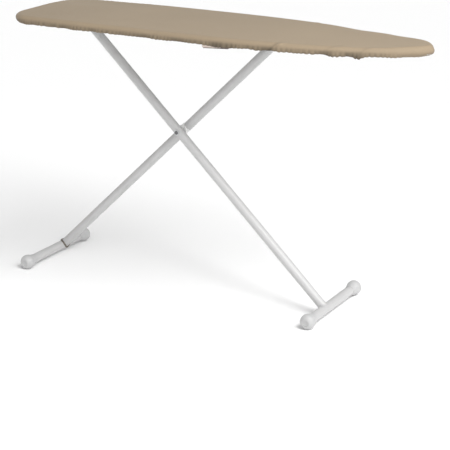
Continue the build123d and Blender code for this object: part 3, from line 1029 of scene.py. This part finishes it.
    def build(self, finishes: Finishes) -> tuple[bpy.types.Object, list[list[Vector]]]:
        """Build the cover.

        Args:
            finishes: the finishes.

        Returns:
            The cover and the runs of points that its rings follow.
        """
        slab = Slab(self.plan, self.stations(), closed=False)
        self.shape(slab)
        piece = slab.make("cotton_cover")
        self.settle(piece, slab)
        rings = [[piece.data.vertices[i].co.copy() for i in ring] for ring in slab.rings]
        Bench.apply(piece, "SOLIDIFY", thickness=self.thickness, offset=-1.0)
        Bench.smooth(piece, 80)
        fit(piece, finishes, "cover_cotton", Body.BOARD, "cover")
        return piece, rings


@dataclass
class Pad:
    """The foam pad under the cover."""

    plan: PlanShape
    low: float
    high: float
    fullness: Fullness
    edge_reach: float = 17 * MM
    edge_drop: float = 13 * MM
    clear: float = 1.6 * MM

    def build(self, finishes: Finishes) -> bpy.types.Object:
        """Build the pad.

        Args:
            finishes: the finishes.

        Returns:
            The pad.
        """
        run = []
        reach = self.edge_reach - self.clear
        for step in range(7):
            bend = math.radians(9.5 * step)
            run.append(
                Station(
                    self.edge_reach - reach * math.sin(bend),
                    self.high - self.edge_drop * (1 - math.cos(bend)),
                )
            )
        run.append(Station(run[-1].inset + 0.4 * MM, self.low))
        slab = Slab(self.plan, run, closed=True)
        for point in slab.points:
            if point.z > self.high - 0.1 * MM:
                point.z -= 0.25 * MM * abs(noise.noise(Vector((point.x * 12, point.y * 12, 4.0))))
            self.fullness.push(point)
        piece = slab.make("foam_underlay")
        Bench.smooth(piece, 50)
        fit(piece, finishes, "pad_foam", Body.BOARD, "foam_pad")
        return piece


@dataclass
class Stitching:
    """A row of machine stitches that follows the hem."""

    length: float = 3.1 * MM
    gap: float = 1.5 * MM
    thread: float = 0.42 * MM
    sink: float = 0.12 * MM
    dive: float = 0.6 * MM

    def one(self) -> bpy.types.Object:
        """Model one stitch: a short thread that dives in at both ends."""
        Bench.clear()
        bpy.ops.mesh.primitive_cylinder_add(
            vertices=6,
            radius=self.thread,
            depth=self.length,
            rotation=(0, math.pi / 2, 0),
            end_fill_type="TRIFAN",
        )
        stitch = Bench.settle(bpy.context.object)
        bpy.ops.object.mode_set(mode="EDIT")
        bpy.ops.mesh.select_all(action="SELECT")
        bpy.ops.mesh.bisect(plane_co=(0, 0, 0), plane_no=(1, 0, 0))
        bpy.ops.mesh.select_all(action="DESELECT")
        bpy.ops.object.mode_set(mode="OBJECT")
        for vertex in stitch.data.vertices:
            vertex.co.z -= self.dive * (vertex.co.x / (self.length / 2)) ** 2
        return stitch

    def build(self, label: str, run: Sequence[Vector], facing: Vector) -> bpy.types.Object:
        """Sew a closed run of points.

        Args:
            label: name of the row.
            run: points on the cloth, in order.
            facing: outward direction of the cloth.

        Returns:
            The row of stitches.
        """
        stitch = self.one()
        rows = bmesh.new()
        pitch = self.length + self.gap
        carried = 0.0
        for index, here in enumerate(run):
            there = run[(index + 1) % len(run)]
            leg = there - here
            while carried < leg.length:
                way = leg.normalized()
                place = here + way * carried
                side = facing.cross(way).normalized()
                out = way.cross(side).normalized()
                turn = Matrix((way, side, out)).transposed().to_4x4()
                first = len(rows.verts)
                rows.from_mesh(stitch.data)
                rows.verts.ensure_lookup_table()
                where = Matrix.Translation(place + out * self.sink) @ turn
                bmesh.ops.transform(rows, matrix=where, verts=rows.verts[first:])
                carried += pitch
            carried -= leg.length
        bpy.data.objects.remove(stitch)
        mesh = bpy.data.meshes.new(label)
        rows.to_mesh(mesh)
        rows.free()
        return Bench.smooth(Bench.place(label, mesh), 60)


@dataclass
class SoftTop:
    """Everything soft on the board: cover, hem stitching and pad."""

    finishes: Finishes

    def build(self) -> None:
        """Build the soft pieces and put them on the board."""
        low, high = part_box("cover")
        pad_low, pad_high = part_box("foam_pad")
        plan = PlanShape(tail_x=low.x, length=high.x - low.x, half_width=high.y)
        fullness = Fullness(pad_low.z, high.z)
        pad = Pad(plan, pad_low.z, pad_high.z, fullness).build(self.finishes)
        cover, rings = Cover(plan, high.z, low.z, fullness).build(self.finishes)
        down = Vector((0, 0, -1))
        seam = Stitching().build("hem_stitching", rings[Cover.seam_row], down)
        fit(seam, self.finishes, "cover_cotton", Body.BOARD)


# ---- Legs ---------------------------------------------------------------------------


class WeldFinish(Enum):
    """How a weld is left: painted over, or bare with its brown scale, made dark as painted shade for
    the shadowed joint.
    """

    PAINTED = "leg_enamel"
    BARE = "weld_scale"


@dataclass
class WeldBead:
    """The weld where a leg tube meets its foot bar."""

    leg: str
    bar: str
    body: Body
    finish: WeldFinish
    bead: float
    leg_radius: float = 14.3 * MM
    steps: int = 72

    def build(self, finishes: Finishes) -> bpy.types.Object:
        """Build the bead along the saddle line between the two tubes.

        Args:
            finishes: the finishes.

        Returns:
            The bead.
        """
        low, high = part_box(self.bar)
        bar_middle = (low + high) / 2
        bar_radius = (high.z - low.z) / 2
        top, foot = leg_line(self.leg)
        foot = Vector((bar_middle.x, foot.y, bar_middle.z))
        way = (top - foot).normalized()
        side = way.orthogonal().normalized()
        other = way.cross(side)
        Bench.clear()
        bpy.ops.mesh.primitive_torus_add(
            major_segments=self.steps,
            minor_segments=10,
            major_radius=self.leg_radius,
            minor_radius=self.bead,
        )
        piece = Bench.name(bpy.context.object, f"{self.leg}_weld")
        for vertex in piece.data.vertices:
            angle = math.atan2(vertex.co.y, vertex.co.x)
            out = side * math.cos(angle) + other * math.sin(angle)
            radial = math.hypot(vertex.co.x, vertex.co.y) - self.leg_radius
            ripple = 1 + 0.14 * math.cos(angle * 26) + 0.12 * noise.noise(out * 3.0)
            rim = foot + out * self.leg_radius
            along = saddle(rim, way, bar_middle, bar_radius)
            vertex.co = rim + way * (along + vertex.co.z * ripple) + out * radial * ripple
        Bench.mend(piece)
        Bench.smooth(piece, 80)
        fit(piece, finishes, "leg_enamel", self.body, finish=self.finish.value)
        return piece


def saddle(rim: Vector, way: Vector, bar_middle: Vector, bar_radius: float) -> float:
    """Distance up a line beside the leg at which it comes out of the foot bar.

    Args:
        rim: start of the line.
        way: unit direction up the leg.
        bar_middle: a point on the bar's axis, which lies along Y.
        bar_radius: the bar's radius.

    Returns:
        The distance.
    """
    gap = Vector((rim.x - bar_middle.x, rim.z - bar_middle.z))
    flat = Vector((way.x, way.z))
    a, b, c = flat.length_squared, 2 * gap.dot(flat), gap.length_squared - bar_radius**2
    inside = b * b - 4 * a * c
    return (-b + math.sqrt(max(inside, 0.0))) / (2 * a)


def leg_line(leg: str) -> tuple[Vector, Vector]:
    """Middle of a leg tube's top end and of its foot end, from its mesh.

    Args:
        leg: name of the leg tube's node.

    Returns:
        The two points.
    """
    points = [vertex.co for vertex in frame["nodes"][leg].data.vertices]
    top = max(point.z for point in points)
    low = min(point.z for point in points)
    ends = []
    for mark in (top, low):
        near = [point for point in points if abs(point.z - mark) < 30 * MM]
        box_low = Vector(map(min, *near))
        box_high = Vector(map(max, *near))
        ends.append((box_low + box_high) / 2)
    return ends[0], ends[1]


# ---- Studio -------------------------------------------------------------------------


class Lamp(Enum):
    """Kinds of studio light."""

    FAR = "SUN"
    PANEL = "AREA"


@dataclass
class Studio:
    """White sweep, soft lights and the camera."""

    eye: Point = (2.2185, -3.7878, 1.7300)
    azimuth: float = 30.22
    elevation: float = 19.02
    roll: float = -0.31
    lens: float = 117.2
    floor_size: float = 60.0
    floor_tone: float = 0.98
    glow: float = 0.41

    def camera(self) -> None:
        """Place the camera."""
        a, e, r = (math.radians(v) for v in (self.azimuth, self.elevation, self.roll))
        back = Vector((math.sin(a) * math.cos(e), -math.cos(a) * math.cos(e), math.sin(e)))
        right = (-back).cross(Vector((0, 0, 1))).normalized()
        up = right.cross(-back)
        across = right * math.cos(r) + up * math.sin(r)
        rise = up * math.cos(r) - right * math.sin(r)
        data = bpy.data.cameras.new("camera")
        data.lens = self.lens
        data.sensor_width = 36.0
        data.shift_x = -0.004
        data.clip_end = 100.0
        camera = Bench.place("camera", data)
        turn = Matrix((across, rise, back)).transposed().to_4x4()
        camera.matrix_world = Matrix.Translation(self.eye) @ turn
        bpy.context.scene.camera = camera

    def light(
        self, label: str, kind: Lamp, place: Point, aim: Point, power: float, spread: float
    ) -> None:
        """Add a soft light.

        Args:
            label: its name.
            kind: a far light or a near panel.
            place: where it stands; a far light keeps only the direction.
            aim: the point it faces.
            power: its strength: watts per square metre when far, watts for a panel.
            spread: degrees that a far light looks wide, or a panel's side in metres.
        """
        data = bpy.data.lights.new(label, kind.value)
        data.energy = power
        if kind is Lamp.FAR:
            data.angle = math.radians(spread)
        else:
            data.size = spread
        lamp = Bench.place(label, data)
        lamp.location = place
        way = Vector(aim) - Vector(place)
        lamp.rotation_euler = way.to_track_quat("-Z", "Y").to_euler()

    def build(self) -> None:
        """Build the floor, the lights, the surroundings and the camera."""
        Bench.clear()
        bpy.ops.mesh.primitive_plane_add(size=self.floor_size)
        floor = Bench.name(bpy.context.object, "floor")
        paint = bpy.data.materials.new("floor_paper")
        paint.use_nodes = True
        shader = paint.node_tree.nodes["Principled BSDF"]
        shader.inputs["Base Color"].default_value = (*[self.floor_tone] * 3, 1)
        shader.inputs["Roughness"].default_value = 0.9
        shader.inputs["Specular IOR Level"].default_value = 0.1
        floor.data.materials.append(paint)
        world = bpy.data.worlds.new("surroundings")
        world.use_nodes = True
        nodes, links = world.node_tree.nodes, world.node_tree.links
        glow = nodes["Background"]
        glow.inputs["Color"].default_value = (1, 1, 1, 1)
        glow.inputs["Strength"].default_value = self.glow
        backdrop = nodes.new("ShaderNodeBackground")
        backdrop.inputs["Color"].default_value = (1, 1, 1, 1)
        seen = nodes.new("ShaderNodeLightPath")
        either = nodes.new("ShaderNodeMixShader")
        links.new(seen.outputs["Is Camera Ray"], either.inputs[0])
        links.new(glow.outputs[0], either.inputs[1])
        links.new(backdrop.outputs[0], either.inputs[2])
        links.new(either.outputs[0], nodes["World Output"].inputs["Surface"])
        bpy.context.scene.world = world
        bpy.context.scene.view_settings.view_transform = "Standard"
        self.light("key", Lamp.FAR, (0.66, -0.12, 0.74), (0, 0, 0), 2.32, 50.0)
        self.light("front", Lamp.FAR, (0.22, -0.95, 0.12), (0, 0, 0), 0.92, 60.0)
        self.light("nose_side", Lamp.PANEL, (1.25, -0.75, 1.95), (0.66, -0.1, 0.86), 14.0, 0.9)
        self.camera()


def main() -> None:
    """Build the studio, the pieces and their finishes."""
    finishes = Finishes()
    finishes.dress_frame()
    Studio().build()
    SoftTop(finishes).build()
    for weld in (
        WeldBead("hinged_leg_tube", "nose_foot_bar", Body.HINGED_LEG, WeldFinish.PAINTED, 2.2 * MM),
        # The bare weld's dark colour is painted shade for the shadow where the sliding leg tube meets
        # its foot bar.
        WeldBead("sliding_leg_tube", "tail_foot_bar", Body.SLIDING_LEG, WeldFinish.BARE, 4.0 * MM),
    ):
        weld.build(finishes)
    log.info("studio and finishes ready")


if __name__ == "__main__":
    main()
